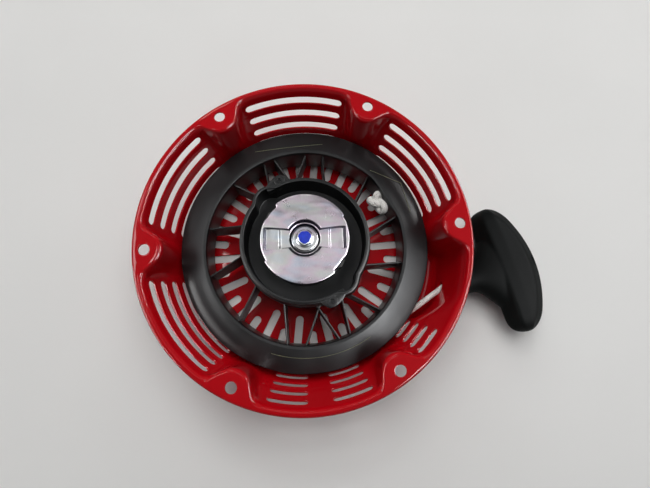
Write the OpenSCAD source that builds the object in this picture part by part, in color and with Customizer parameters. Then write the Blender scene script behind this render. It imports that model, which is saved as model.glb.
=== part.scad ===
// Recoil starter for a single-cylinder petrol engine.
//
// The origin is the centre of the mounting bolt circle, in the face that
// bolts to the engine. +Z points towards the engine, so the case lies on
// its back below z = 0. +X passes through the mounting hole nearest the
// pull grip.

/* [Case] */
// Radius of the mounting bolt circle
bolt_circle_r = 106; // [100:0.5:112]
// Diameter of each mounting hole
bolt_hole_d = 7.5; // [6.5:0.1:8.5]
// Outer radius of the flange
flange_r = 114.3; // [113:0.1:120]
// Height of the case from the mounting face to its back
case_depth = 57; // [56:0.5:60]
// Thickness of the pressed steel sheet
sheet_t = 1.5; // [1.2:0.1:2]
// Inner radius of the wall where it meets the mounting face
wall_top_r = 109.7; // [109:0.1:111]
// Radius that the wall loses for each millimetre of depth
wall_draft = 0.36; // [0.3:0.01:0.38]
// Width of each vent slot
slot_w = 5.3; // [4:0.1:6]

/* [Reel] */
// Outer radius of the rope reel
reel_r = 91.5; // [89:0.5:92]
// Radius of the drum that the rope winds on
drum_r = 73; // [72:0.5:75]
// Outer radius of the hub cup
hub_r = 44; // [43:0.5:46]
// Height of the rope's middle plane
rope_z = -40; // [-42:0.5:-39]
// Rope diameter
rope_d = 4.2; // [3.8:0.1:4.4]

/* [Ratchet] */
// Height of the guide disc's face
guide_z = -5.4; // [-6:0.1:-5]
// Radius of the guide disc over its two lobes
guide_r = 31.8; // [31:0.1:33]
// Distance from the spindle axis to each ratchet's pin
pivot_r = 23; // [22.5:0.1:23.5]
// Direction of the first ratchet's pin
pivot_angle = 78; // [76:1:80]
// Length of a ratchet from its pin to its tip
ratchet_len = 31.3; // [30:0.1:32]

/* [Grip] */
// Direction of pull, from +X towards +Y
pull_angle = 10.7; // [8:0.1:13]
// Distance from one end of the grip to the other
grip_span = 94; // [85:1:100]
// Thickness of the grip
grip_h = 26; // [22:1:28]

/* [Hidden] */

$fn = 96;
eps = 0.5;

// Case
sheet_across = sheet_t * sqrt(1 + wall_draft * wall_draft);
floor_in = -case_depth + sheet_t;
corner_r = 5;
back_r = 82;
pad_r_top = 11.8;
pad_r_low = 13.4;
dish_r = 20;
dish_flare = 3;
dish_rise = 2.5;
pocket_r = 109.2;
pocket_angle = 17.2;
pocket_at = [92, -54.4];
nose_r = 9;
nose_end = 9;
eyelet_r = 4.6;
slot_rows = [-9.5, -20.5, -31.6, -42.6];
floor_slot_out = 76;
floor_slot_long = 50.5;
floor_slot_short = 62;

// Rope route
guide_at = [101, -38.5, rope_z];
rope_r = rope_d / 2;
lay_step = rope_d + 0.05;
lay_first = drum_r + rope_r + 0.05;
lead_angle = 29.8;
lead_len = 68.2;
lead_start = 29;
bend_r = 14;

// Spindle
post_r = 7;
post_base_r = 11;
rivet_r = 6;
screw_r = 3;
post_top = -12;
post_shoulder = -38.3;
floor_dish = floor_in + dish_rise;

// Reel
hub_wall = 2.5;
hub_rim = -7.7;
ring_edge = -32.2;
cup_floor = -28;
deck_z = -18.5;
deck_r = 30.5;
spring_roof = -30;
reel_back = floor_in + 1.2;
rib_w = 1.9;
rib_low = -49.5;
rib_h = 19;
rib_r_in = hub_r - 0.6;
rib_r_out = drum_r - 0.6;
cup_r = hub_r - hub_wall;
bulge_angle = 128;
bulge_at = 36;
bulge_r_in = 9.8;
bulge_r_out = 12;
ear_at = 46.5;
ear_angle = 108.3;
ear_r = 3.6;
knot_angle = 27.4;
flat_angle = 25.3;

// Ratchets
pawl_low = deck_z + 0.3;
pawl_top = -10;
pawl_peg_at = 15;
pawl_rest = 189;
pin_r = 2.5;
peg_r = 1.5;
spring_ring_r = 3.3;
spring_wire_r = 0.4;

// Guide
guide_t = 1.6;
recess_floor = -9.6;
recess_turn = -3.5;
recess_r = 11.3;
cam_low = -9.6;
collar_r = 5.95;
friction_r = 8.1;
friction_wire_r = 0.8;

// Grip
grip_mid = 58.5;
grip_end = 49.5;
grip_end_r = 12.5;
knot_seat = 54;
lobe_r = 14;
knot_room_r = 7;
cap_r = 8;

// Inner radius of the conical wall at height z
function wall_r(z) = wall_top_r + wall_draft * z;

// Point at radius r and direction a
function polar(r, a) = [r * cos(a), r * sin(a)];

module at_polar(r, a) {
    rotate(a) translate([r, 0, 0]) children();
}

module ring(r_out, r_in, z_low, z_top) {
    translate([0, 0, z_low]) difference() {
        cylinder(r = r_out, h = z_top - z_low);
        translate([0, 0, -eps]) cylinder(r = r_in, h = z_top - z_low + 2 * eps);
    }
}

// Moves children onto the pull axis, with their +Z along the pull
module on_pull_axis(along = 0) {
    translate(guide_at) rotate([0, 0, pull_angle]) translate([along, 0, 0]) rotate([0, 90, 0]) children();
}

// ---- Case ----

// Solid of the bowl, grown outwards by one sheet thickness when skin is 1
module bowl(skin) {
    low = floor_in - skin * sheet_t;
    out = skin * sheet_across;
    low_r = wall_r(low) + out;
    rotate_extrude($fn = 180) polygon([
        [0, low],
        [low_r - corner_r, low],
        [low_r - 1.2 + wall_draft, low + 1.4],
        [wall_r(low + corner_r) + out, low + corner_r],
        [wall_r(0) + out, 0],
        [0, 0]
    ]);
}

// Region that the rope pocket takes, seen from the engine
module pocket_plan(grow) {
    translate(pocket_at) rotate(pocket_angle) translate([-40, -grow]) square([90, 44 + grow]);
}

// Rope pocket: the wall stands upright here, with a round nose for the eyelet
module pocket(skin) {
    grow = skin * sheet_t;
    low = floor_in - grow;
    intersection() {
        translate([0, 0, low]) cylinder(r = pocket_r + grow, h = -low - (1 - skin) * 0.01, $fn = 180);
        translate([0, 0, low]) linear_extrude(-low) pocket_plan(grow);
        translate([60, -75, low]) cube([60, 68, -low]);
    }
    on_pull_axis(-12) cylinder(r = nose_r - sheet_t + grow, h = 12 + nose_end - sheet_t + grow);
}

module pads(skin) {
    r_top = pad_r_top - skin * sheet_t;
    r_low = pad_r_low - skin * sheet_t;
    top = -skin * sheet_t;
    for (i = [0:5]) at_polar(bolt_circle_r, 60 * i) {
        translate([0, 0, floor_in - 4]) cylinder(r1 = r_low, r2 = r_top, h = top - floor_in + 4);
    }
}

module wall_slot(z, from, to) {
    tilt = atan(wall_draft);
    rotate(from) rotate_extrude(angle = to - from) translate([wall_r(z), z]) rotate(-tilt)
        translate([-4, -slot_w / 2]) square([10, slot_w]);
}

module wall_slots() {
    for (z = slot_rows) {
        for (a = [30, 90, 150, 210]) wall_slot(z, a - 19.5, a + 19.5);
        wall_slot(z, 252, 266.5);
        wall_slot(z, 275, 289.5);
        wall_slot(z, 307, 319);
    }
}

module floor_slots() {
    translate([0, 0, floor_in - sheet_t - eps]) linear_extrude(sheet_t + 2 * eps) {
        for (i = [0:35]) rotate(10 * i) {
            inner = i % 2 == 0 ? floor_slot_long : floor_slot_short;
            translate([inner + slot_w / 2, -slot_w / 2]) square([floor_slot_out - inner - slot_w, slot_w]);
            translate([inner + slot_w / 2, 0]) circle(d = slot_w, $fn = 32);
            translate([floor_slot_out - slot_w / 2, 0]) circle(d = slot_w, $fn = 32);
        }
    }
}

// Wall, flange and rope pocket of the pressing
module case_shell() {
    color("#b5121b") difference() {
        union() {
            difference() {
                union() {
                    bowl(1);
                    pocket(1);
                }
                pads(1);
            }
            translate([0, 0, -sheet_t]) cylinder(r = flange_r, h = sheet_t, $fn = 180);
        }
        difference() {
            union() {
                translate([0, 0, 0.01]) bowl(0);
                pocket(0);
                cylinder(r = wall_top_r, h = eps);
            }
            pads(0);
        }
        translate([0, 0, -case_depth - eps]) cylinder(r = back_r, h = sheet_t + 2 * eps, $fn = 180);
        for (i = [0:5]) at_polar(bolt_circle_r, 60 * i) {
            translate([0, 0, -3 * sheet_t]) cylinder(d = bolt_hole_d, h = 5 * sheet_t, $fn = 48);
        }
        on_pull_axis(0) cylinder(r = eyelet_r + 0.05, h = 12, $fn = 48);
        wall_slots();
    }
}

// Vented back of the pressing, with the dish that carries the spindle
module case_back() {
    color("#b5121b") difference() {
        union() {
            translate([0, 0, -case_depth]) cylinder(r = back_r, h = sheet_t, $fn = 180);
            translate([0, 0, floor_in - eps])
                cylinder(r1 = dish_r + dish_flare, r2 = dish_r, h = dish_rise + eps);
        }
        translate([0, 0, -case_depth - eps])
            cylinder(r1 = dish_r + dish_flare - 1, r2 = dish_r - 1, h = dish_rise + eps);
        translate([0, 0, -case_depth]) cylinder(r = rivet_r + 0.05, h = 6);
        floor_slots();
    }
}

module spindle_post() {
    color("#9a9da3") difference() {
        union() {
            translate([0, 0, -case_depth + 0.7]) cylinder(r = 1.5 * rivet_r, h = dish_rise - 0.7);
            translate([0, 0, -case_depth + 1]) cylinder(r = rivet_r, h = 6);
            translate([0, 0, floor_dish]) cylinder(r = post_base_r, h = post_shoulder - floor_dish);
            translate([0, 0, post_shoulder - eps]) cylinder(r = post_r, h = post_top - post_shoulder + eps);
        }
        translate([0, 0, -32]) cylinder(r = screw_r, h = 30, $fn = 48);
        translate([8.2, -0.7, floor_dish + 0.4]) cube([4, 1.4, 20]);
    }
}

module rope_eyelet() {
    color("#b9bcc0") on_pull_axis(0) rotate_extrude() polygon([
        [3, nose_end - 4],
        [7.2, nose_end - 3.2],
        [7.2, nose_end - sheet_t - 0.05],
        [eyelet_r, nose_end - sheet_t - 0.05],
        [eyelet_r, nose_end + 0.05],
        [6.6, nose_end + 0.05],
        [6.6, nose_end + 0.9],
        [3, nose_end + 1.4]
    ]);
}

// ---- Recoil spring ----

spring_turns = 6.5;
spring_in = 12;
spring_out = 39.6;
spring_t = 0.9;
spring_low = -52.6;
spring_h = 13;
spring_steps = 130;

// Side of the spiral strip, offset from its middle line
function spiral(side) = [
    for (i = [0:spring_steps]) let (u = i / spring_steps)
        polar(spring_in + (spring_out - spring_in) * u + side * spring_t / 2, 360 * spring_turns * u)
];

function reversed(list) = [for (i = [len(list) - 1:-1:0]) list[i]];

module recoil_spring() {
    end_angle = 360 * spring_turns;
    color("#5c6066") translate([0, 0, spring_low]) linear_extrude(spring_h) union() {
        polygon(concat(spiral(1), reversed(spiral(-1))));
        translate([8.6, -spring_t / 2]) square([spring_in - 8.6, spring_t]);
        rotate(end_angle) translate([spring_out, -spring_t / 2]) square([43 - spring_out, spring_t]);
    }
}

module spring_cover() {
    color("#8d9096") ring(cup_r - 0.05, 24, reel_back + 0.1, reel_back + 0.6);
}

// ---- Reel ----

// Round bulges in the cup's wall that give the ratchet tips room
module bulges(r) {
    for (half = [0, 180]) rotate(bulge_angle + half) translate([bulge_at, 0]) circle(r = r);
}

// Cup on the engine side: a channel round the deck, and the room above the deck
module cup_room() {
    translate([0, 0, cup_floor]) linear_extrude(deck_z - cup_floor) difference() {
        union() {
            circle(r = cup_r);
            bulges(bulge_r_in);
        }
        circle(r = deck_r);
    }
    translate([0, 0, deck_z]) linear_extrude(1 - deck_z) {
        circle(r = cup_r);
        bulges(bulge_r_in);
    }
}

// Room for the spiral spring on the back, up to the underside of the deck
module spring_room() {
    rotate_extrude() polygon([
        [0, reel_back - 1],
        [0, post_shoulder + 0.3],
        [10.5, post_shoulder + 0.3],
        [10.5, deck_z - 2.5],
        [deck_r - 2.5, deck_z - 2.5],
        [deck_r - 2.5, spring_roof],
        [cup_r, spring_roof],
        [cup_r, reel_back - 1]
    ]);
}

module ring_blank() {
    rotate_extrude($fn = 180) polygon([
        [drum_r - 2, -50],
        [drum_r + 0.4, -50],
        [drum_r + 0.4, -46.4],
        [88.3, -45.6],
        [88.3, -43.9],
        [drum_r, rope_z - 2.5],
        [drum_r, rope_z + 2.5],
        [reel_r - 0.3, ring_edge - 1.7],
        [reel_r, ring_edge],
        [drum_r + 1.6, -27.5],
        [drum_r - 0.5, -27.7],
        [drum_r - 1, -30]
    ]);
}

module knot_block() {
    rotate(flat_angle) intersection() {
        translate([69.8, -19, -47]) cube([2.6, 38, 18]);
        translate([0, 0, -47]) cylinder(r = drum_r - 0.6, h = 18, $fn = 180);
    }
}

// One rib leans from direction a at the hub to direction b at the drum
module rib(a, b, h = rib_h) {
    p = polar(rib_r_in, a);
    q = polar(rib_r_out, b);
    d = q - p;
    translate([p[0], p[1], rib_low]) rotate(atan2(d[1], d[0])) translate([0, -rib_w / 2, 0])
        cube([norm(d), rib_w, h]);
}

// Outside of the hub, with its bulges
module hub_blank() {
    translate([0, 0, reel_back]) cylinder(r = hub_r, h = hub_rim - reel_back);
    translate([0, 0, cup_floor - 1.5]) linear_extrude(hub_rim - cup_floor + 1.5) bulges(bulge_r_out);
    for (half = [0, 180]) rotate(half) at_polar(ear_at, ear_angle)
        translate([0, 0, -16]) cylinder(r = ear_r, h = 8, $fn = 48);
}

// Hub: a cup for the engine's pulley in front, and the spring's housing behind
module reel_hub() {
    color("#26282b") difference() {
        union() {
            difference() {
                hub_blank();
                cup_room();
                spring_room();
            }
            for (half = [0, 180]) rotate(half) at_polar(pivot_r, pivot_angle)
                translate([0, 0, -27]) cylinder(r = 4.2, h = 7, $fn = 48);
        }
        translate([0, 0, -45]) cylinder(r = post_r + 0.05, h = 40);
        for (half = [0, 180]) rotate(half) {
            at_polar(ear_at, ear_angle) translate([0, 0, -17]) cylinder(r = ear_r - 2.3, h = 10, $fn = 32);
            at_polar(pivot_r, pivot_angle) translate([0, 0, -26]) cylinder(r = pin_r, h = 12, $fn = 48);
        }
        rotate(360 * spring_turns) translate([40, -1, spring_low - 3]) cube([3.4, 2, spring_h + 3.2]);
    }
}

// Drum with the rope groove and the conical ring, and a flat block that the knot bears on
module reel_ring() {
    color("#26282b") difference() {
        union() {
            ring_blank();
            knot_block();
        }
        rotate(knot_angle) translate([60, 0, rope_z]) rotate([0, 90, 0])
            cylinder(r = rope_r + 0.25, h = 14, $fn = 48);
    }
}

// Thin ribs between the hub and the drum
module reel_ribs() {
    color("#26282b") difference() {
        for (half = [0, 180]) rotate(half) {
            for (a = [3.5, 34, 65, 95, 124, 155]) rib(a, a + 10);
            rib(99.5, 85.6, rib_h - 1);
            rib(120.7, 111.7, rib_h - 1);
        }
        hub_blank();
        ring_blank();
        knot_block();
    }
}

// ---- Rope ----

module rope_winding() {
    color("#d9d9d4") translate([0, 0, rope_z]) rotate_extrude($fn = 180) {
        for (i = [0:2]) translate([lay_first + i * lay_step, 0]) circle(r = rope_r, $fn = 32);
    }
}

// Stopper knot inside the drum wall, with the end that passes through it
module rope_end_knot() {
    color("#d9d9d4") rotate(knot_angle) translate([64, 0, rope_z]) {
        rotate([90, 0, 0]) rotate_extrude($fn = 48) polygon([
            [0, -7.5],
            [3.2, -7],
            [5, -3.5],
            [5, 3.5],
            [3.2, 7],
            [0, 7.5]
        ]);
        rotate([0, 90, 0]) cylinder(r = rope_r, h = 8.9, $fn = 48);
    }
}

// Rope from the reel to the grip, which bends where it meets the eyelet
module rope_lead() {
    turn = lead_angle - pull_angle;
    reach = bend_r * tan(turn / 2);
    color("#d9d9d4") {
        translate(guide_at) rotate(lead_angle) translate([lead_start - lead_len, 0, 0]) rotate([0, 90, 0])
            cylinder(r = rope_r, h = lead_len - lead_start - reach, $fn = 48);
        translate(guide_at) rotate(pull_angle) translate([reach, -bend_r, 0]) rotate(90)
            rotate_extrude(angle = turn) translate([bend_r, 0]) circle(r = rope_r, $fn = 48);
        on_pull_axis(reach) cylinder(r = rope_r, h = knot_seat + 2 - reach, $fn = 48);
    }
}

// ---- Ratchets ----

// Ratchet in its own frame: the pin at the origin and the tip along +X
module ratchet_body() {
    difference() {
        union() {
            translate([0, 0, pawl_low]) linear_extrude(pawl_top - pawl_low) {
                circle(r = 5, $fn = 48);
                polygon([
                    [-1, -4.9],
                    [12, -3.6],
                    [ratchet_len - 3, -3.2],
                    [ratchet_len, 0.6],
                    [ratchet_len - 1.5, 3.4],
                    [14, 3],
                    [-1, 4.9]
                ]);
            }
            translate([pawl_peg_at, 0, pawl_top - eps]) cylinder(r = peg_r, h = 2.4 + eps, $fn = 32);
        }
        translate([0, 0, pawl_low - 1]) cylinder(r = pin_r + 0.05, h = 12, $fn = 48);
    }
}

module ratchet_at(half) {
    rotate(half) at_polar(pivot_r, pivot_angle) rotate(pawl_rest - pivot_angle) children();
}

module ratchet_1() {
    color("#3a3a3c") ratchet_at(0) ratchet_body();
}

module ratchet_2() {
    color("#3a3a3c") ratchet_at(180) ratchet_body();
}

module ratchet_pins() {
    color("#aeb1b5") for (half = [0, 180]) rotate(half) at_polar(pivot_r, pivot_angle) {
        translate([0, 0, -26]) cylinder(r = pin_r, h = 18, $fn = 48);
    }
}

module ratchet_springs() {
    color("#8f9297") for (half = [0, 180]) ratchet_at(half) {
        for (turn = [0, 1]) translate([0, 0, pawl_top + 0.55 + 0.9 * turn]) rotate_extrude($fn = 48)
            translate([spring_ring_r, 0]) circle(r = spring_wire_r, $fn = 16);
    }
}

// ---- Guide and friction parts ----

// Bow-tie recess, grown outwards by the given amount
module bow_tie(grow) {
    end_x = 27.6 + grow;
    end_y = 8.2 + grow;
    waist_y = 6.5 + grow;
    polygon([
        [end_x, end_y - 2],
        [end_x - 2, end_y],
        [12, waist_y],
        [-12, waist_y],
        [-end_x + 2, end_y],
        [-end_x, end_y - 2],
        [-end_x, -end_y + 2],
        [-end_x + 2, -end_y],
        [-12, -waist_y],
        [12, -waist_y],
        [end_x - 2, -end_y],
        [end_x, -end_y + 2]
    ]);
    circle(r = recess_r + grow);
}

// Cam under the disc that pushes a ratchet's peg outwards as the disc lags
module guide_cam() {
    translate([0, 0, cam_low]) linear_extrude(guide_z - cam_low - 1) polygon([
        [-23.5, 16.2],
        [-9.3, 16.6],
        [-9.3, 18.3],
        [-13, 18.8],
        [-17, 18.75],
        [-19.2, 18.45],
        [-23.5, 17.3]
    ]);
}

module ratchet_guide() {
    color("#d8d8dc") difference() {
        union() {
            translate([0, 0, guide_z - guide_t]) linear_extrude(guide_t) {
                circle(r = guide_r - 1.1);
                for (half = [0, 180]) rotate(26 + half) intersection() {
                    circle(r = guide_r);
                    polygon([[0, 0], polar(45, 0), polar(60, 50), polar(45, 100)]);
                }
            }
            translate([0, 0, recess_floor - guide_t]) linear_extrude(guide_z - recess_floor)
                rotate(recess_turn) bow_tie(guide_t);
            for (half = [0, 180]) rotate(half) guide_cam();
        }
        translate([0, 0, recess_floor]) linear_extrude(8) rotate(recess_turn) bow_tie(0);
        translate([0, 0, post_top]) cylinder(r = collar_r + 0.05, h = 4, $fn = 48);
    }
}

module friction_spring() {
    color("#7d8086") translate([0, 0, deck_z + 2]) {
        rotate(20) rotate_extrude(angle = 320) translate([friction_r, 0])
            circle(r = friction_wire_r, $fn = 24);
        for (side = [20, 340]) at_polar(friction_r, side) translate([-0.1, 0, 0]) rotate([0, 90, 0])
            cylinder(r = friction_wire_r, h = 6, $fn = 24);
    }
}

module thrust_washer() {
    color("#a5a8ad") ring(12.5, post_r + 0.1, deck_z + 0.05, deck_z + 1.05);
}

module guide_collar() {
    color("#c9cacd") difference() {
        union() {
            translate([0, 0, post_top]) cylinder(r = collar_r, h = 3);
            translate([0, 0, recess_floor + 0.1]) cylinder(r = 9.5, h = 1.2);
            translate([0, 0, recess_floor + 1]) cylinder(r = 8.3, h = 1);
        }
        translate([0, 0, post_top - 1]) cylinder(r = screw_r + 0.05, h = 10, $fn = 48);
    }
}

module set_screw() {
    head_low = recess_floor + 2.05;
    color("#c4c6ca") {
        translate([0, 0, -30]) cylinder(r = screw_r - 0.05, h = head_low + 30, $fn = 48);
        translate([0, 0, head_low]) cylinder(r = 6.4, h = 1);
        translate([0, 0, head_low + 1]) rotate(15) cylinder(d = 10 / cos(30), h = 3.2, $fn = 6);
    }
}

// ---- Pull grip ----

module grip_lobe(side) {
    hull() {
        translate([grip_mid, 0, 0]) scale([1, 1, grip_h / (2 * lobe_r)]) sphere(r = lobe_r, $fn = 32);
        translate([grip_end, side * (grip_span / 2 - grip_end_r), 0]) sphere(r = grip_end_r, $fn = 32);
    }
}

module grip_body() {
    cap_seat = grip_mid + lobe_r - 5;
    color("#1d2022") difference() {
        union() {
            translate(guide_at) rotate(pull_angle) {
                grip_lobe(1);
                grip_lobe(-1);
            }
            on_pull_axis(nose_end + 0.4) cylinder(r1 = 10, r2 = 10.8, h = 42);
        }
        on_pull_axis(0) cylinder(r = 2.6, h = 80, $fn = 48);
        on_pull_axis(nose_end) cylinder(r = 7.6, h = 2.4, $fn = 48);
        on_pull_axis(knot_seat) cylinder(r = knot_room_r, h = 30, $fn = 64);
        on_pull_axis(cap_seat) cylinder(r = cap_r, h = 30, $fn = 64);
    }
}

module grip_cap() {
    color("#232628") on_pull_axis(grip_mid + lobe_r - 4.95) rotate_extrude($fn = 64) polygon([
        [0, 0],
        [cap_r - 0.05, 0],
        [cap_r - 0.05, 2.6],
        [0, 4.8]
    ]);
}

module grip_washer() {
    color("#aeb1b5") on_pull_axis(0) ring(knot_room_r - 0.1, 2.5, knot_seat + 0.05, knot_seat + 1.25);
}

module rope_grip_knot() {
    start = knot_seat + 2.05;
    color("#d9d9d4") on_pull_axis(0) rotate_extrude($fn = 48) polygon([
        [0, start],
        [3.5, start],
        [5.8, start + 3],
        [5.8, start + 7],
        [3.5, start + 10],
        [0, start + 10]
    ]);
}

case_shell();
case_back();
spindle_post();
rope_eyelet();
recoil_spring();
spring_cover();
reel_hub();
reel_ring();
reel_ribs();
rope_winding();
rope_end_knot();
rope_lead();
ratchet_1();
ratchet_2();
ratchet_pins();
ratchet_springs();
ratchet_guide();
friction_spring();
thrust_washer();
guide_collar();
set_screw();
grip_body();
grip_cap();
grip_washer();
rope_grip_knot();
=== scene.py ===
import math

import bpy
import numpy as np
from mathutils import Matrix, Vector


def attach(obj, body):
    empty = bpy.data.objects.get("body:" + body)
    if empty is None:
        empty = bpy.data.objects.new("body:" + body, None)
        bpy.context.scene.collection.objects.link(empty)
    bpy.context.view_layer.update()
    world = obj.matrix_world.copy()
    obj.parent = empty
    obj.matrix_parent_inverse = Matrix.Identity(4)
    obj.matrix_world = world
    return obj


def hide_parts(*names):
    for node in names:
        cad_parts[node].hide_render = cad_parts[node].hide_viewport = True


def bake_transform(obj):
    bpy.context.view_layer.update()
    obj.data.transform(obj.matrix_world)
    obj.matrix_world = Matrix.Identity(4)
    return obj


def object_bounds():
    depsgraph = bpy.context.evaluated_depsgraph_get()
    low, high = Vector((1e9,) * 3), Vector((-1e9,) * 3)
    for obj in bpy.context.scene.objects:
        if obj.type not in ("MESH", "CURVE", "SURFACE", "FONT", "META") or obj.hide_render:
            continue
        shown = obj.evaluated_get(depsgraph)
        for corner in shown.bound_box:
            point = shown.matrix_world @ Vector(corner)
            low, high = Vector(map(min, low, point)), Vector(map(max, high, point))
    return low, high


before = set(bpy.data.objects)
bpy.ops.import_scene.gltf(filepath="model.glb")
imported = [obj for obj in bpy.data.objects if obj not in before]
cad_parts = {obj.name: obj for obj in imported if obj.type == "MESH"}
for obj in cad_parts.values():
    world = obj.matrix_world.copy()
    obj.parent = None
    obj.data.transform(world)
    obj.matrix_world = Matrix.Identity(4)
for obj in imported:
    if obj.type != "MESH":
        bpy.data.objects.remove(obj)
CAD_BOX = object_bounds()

# Shapes are worked out in millimetres in the row frame and made in metres.
MM = 0.001
UP = np.array([0.0, 0.0, 1.0])

# ---- dimensions, in mm and degrees

ROPE_Z = -40.0

# Case
FLANGE_R = 114.3
BOLT_CIRCLE_R = 106.0
BOLT_HOLE_R = 3.75
WALL_TOP_R = 109.7
WALL_DRAFT = 0.36
SHEET = 1.4
FLOOR_Z = -55.5
BOSS_R_TOP = 11.8
BOSS_DRAFT = 0.027
# softness of the crease round a pad at the flange and deep in the bowl
BOSS_BLEND = (12.0, 5.5)
POCKET_R = 109.2
POCKET_ANGLE = 17.2
POCKET_POINT = (92.0, -54.4)
POCKET_DRAFT = 0.1
# angle, height and radius
ROPE_HOLE = (338.2, ROPE_Z, 4.4)
ROW_TOP = -4.0
ROW_PITCH = 11.03
SLOT_HALF = 3.0
# first and last angle of a group of wall slots, then of the grid's block that holds it
SLOT_GROUPS = [(a - 19.5, a + 19.5, a - 22, a + 22) for a in (30, 90, 150, 210)]
SLOT_GROUPS += [(252, 266.5, 250, 269), (275, 289.5, 272, 292)]
FLOOR_SLOT_OUT = 76.0
FLOOR_SLOT_LONG = 50.5
FLOOR_SLOT_SHORT = 62.0

# Rope and grip
PULL_ANGLE = 10.7
# where the rope crosses the pocket's wall
GUIDE = np.array([101.0, -38.5, ROPE_Z])
NOSE_END = 9.0
ROPE_R = 2.1
KNOT_ROPE_R = 2.7
BRAID_STEP = 0.45
KNOT_ANGLE = 27.4
LEAD_ANGLE = 29.8
LEAD_LENGTH = 68.2
# radii of the rope's turns on the reel
LAYERS = (75.15, 79.4, 83.65)
# where the grip's bar closes to at its ends: (along the pull, up)
BAR_AXIS = np.array([51.0, 0.0])
BAR_HALF = 48.3

# Reel
DRUM_R = 73.0
REEL_R = 91.5
CONE_R = DRUM_R + 1.6
RING_TOP = -27.5
RING_EDGE = -32.0
# the straight stretch of the ring's inner edge: distance from the middle and direction
CHORD_R = 70.2
CHORD_ANGLE = 25.3
HUB_R = 44.6
CUP_R = 42.0
HUB_RIM = -7.7
CUP_FLOOR = -28.0
BULGE_ANGLE = 128.0
BULGE_AT = 36.0
BULGE_R = 10.9
RIB_LOW = -49.5
EAR_AT = 46.5

# Ratchet guide
GUIDE_TOP = -5.4
WELL_R = 11.3
RECESS_TURN = -3.5
# ends of each long side of the bow-tie recess, from the middle outwards
RECESS_SIDE = ((12.0, 6.4), (27.6, 8.2))
RECESS_WALL = 2.4
WELL_FLOOR_R = 10.8
DISC_EDGE = 0.9

# Screw
SCREW_SEAT = -7.55
HEAD_TOP = SCREW_SEAT + 4.1


# ---- small numeric helpers

def cosd(a):
    return np.cos(np.radians(a))


def sind(a):
    return np.sin(np.radians(a))


def polar(r, a, z=0.0):
    return np.array([r * cosd(a), r * sind(a), z])


def smooth_max(a, b, k):
    h = np.maximum(k - np.abs(a - b), 0.0) / k
    return np.maximum(a, b) + h * h * k / 4.0


def smooth_min(a, b, k):
    return -smooth_max(-a, -b, k)


def smooth_step(x, low, high):
    t = np.clip((x - low) / (high - low), 0.0, 1.0)
    return t * t * (3.0 - 2.0 * t)


def unit(v):
    """Vectors scaled to length 1."""
    return v / np.linalg.norm(v, axis=-1, keepdims=True)


def lengths(path):
    """Length along a path up to each of its points."""
    return np.concatenate([[0], np.cumsum(np.linalg.norm(np.diff(path, axis=0), axis=1))])


def turned(points, degrees):
    """Points turned about the Z axis."""
    p = np.asarray(points, float)
    c, s = cosd(degrees), sind(degrees)
    return np.stack([p[..., 0] * c - p[..., 1] * s, p[..., 0] * s + p[..., 1] * c, p[..., 2]], axis=-1)


def rounded(points, radii, steps=4):
    """Closed 2D outline with each corner rounded by its radius."""
    out = []
    corners = np.asarray(points, float)
    radii = np.broadcast_to(radii, len(corners))
    for i, (p, r) in enumerate(zip(corners, radii)):
        before = corners[i - 1] - p
        after = corners[(i + 1) % len(corners)] - p
        if r <= 0:
            out.append(tuple(p))
            continue
        u, v = unit(before), unit(after)
        half = math.acos(float(np.clip(u @ v, -1, 1))) / 2
        reach = min(r / math.tan(half), 0.48 * min(np.linalg.norm(before), np.linalg.norm(after)))
        a, b = p + u * reach, p + v * reach
        for k in range(steps + 1):
            t = k / steps
            out.append(tuple((1 - t) ** 2 * a + 2 * t * (1 - t) * p + t * t * b))
    return out


# ---- mesh helpers

def add_mesh(name, points, faces, material, body, slot):
    """A piece from points in mm; it rides on a body, if one is given, and takes the given material. Its slot
    argument is not used.
    """
    mesh = bpy.data.meshes.new(name)
    mesh.from_pydata((np.asarray(points, float) * MM).tolist(), [], [list(map(int, f)) for f in faces])
    mesh.validate()
    mesh.update()
    obj = bpy.data.objects.new(name, mesh)
    bpy.context.collection.objects.link(obj)
    mesh.materials.append(material)
    mesh.shade_smooth()
    if body:
        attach(obj, body)
    return obj


def bake_modifiers(obj):
    """Applies the piece's modifiers to its mesh."""
    graph = bpy.context.evaluated_depsgraph_get()
    mesh = bpy.data.meshes.new_from_object(obj.evaluated_get(graph))
    old = obj.data
    obj.modifiers.clear()
    obj.data = mesh
    bpy.data.meshes.remove(old)


def sharpen(obj, degrees=32):
    """Smooth shading that stays crisp over edges sharper than the given angle."""
    obj.data.shade_smooth()
    obj.data.set_sharp_from_angle(angle=math.radians(degrees))


def loop_faces(rows, columns, closed=False, flip=False):
    """Quads between loops of points stored one after the other; closed joins the last to the first."""
    faces = []
    for i in range(rows if closed else rows - 1):
        for j in range(columns):
            a, b = i * columns + j, i * columns + (j + 1) % columns
            c, d = ((i + 1) % rows) * columns + (j + 1) % columns, ((i + 1) % rows) * columns + j
            faces.append((a, d, c, b) if flip else (a, b, c, d))
    return faces


def cap(first, count, flip=False):
    """One face over a loop of points."""
    loop = list(range(first, first + count))
    return loop[::-1] if flip else loop


def capped_faces(rows, columns, flip=False):
    """Quads between loops of points, and one more face over the first and the last loop."""
    ends = [cap(0, columns, not flip), cap((rows - 1) * columns, columns, flip)]
    return loop_faces(rows, columns, flip=flip) + ends


def lathe(profile, angles, shape=None):
    """Points and faces of a profile of (r, z) turned through angles.
    shape(r, z, angle) may change r and z."""
    profile = np.asarray(profile, float)
    a = np.asarray(angles, float)[:, None]
    r, z = profile[None, :, 0] + 0 * a, profile[None, :, 1] + 0 * a
    if shape:
        r, z = shape(r, z, a + 0 * r)
    points = np.stack([r * cosd(a), r * sind(a), z], axis=-1).reshape(-1, 3)
    return points, loop_faces(len(angles), len(profile), closed=True)


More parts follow.
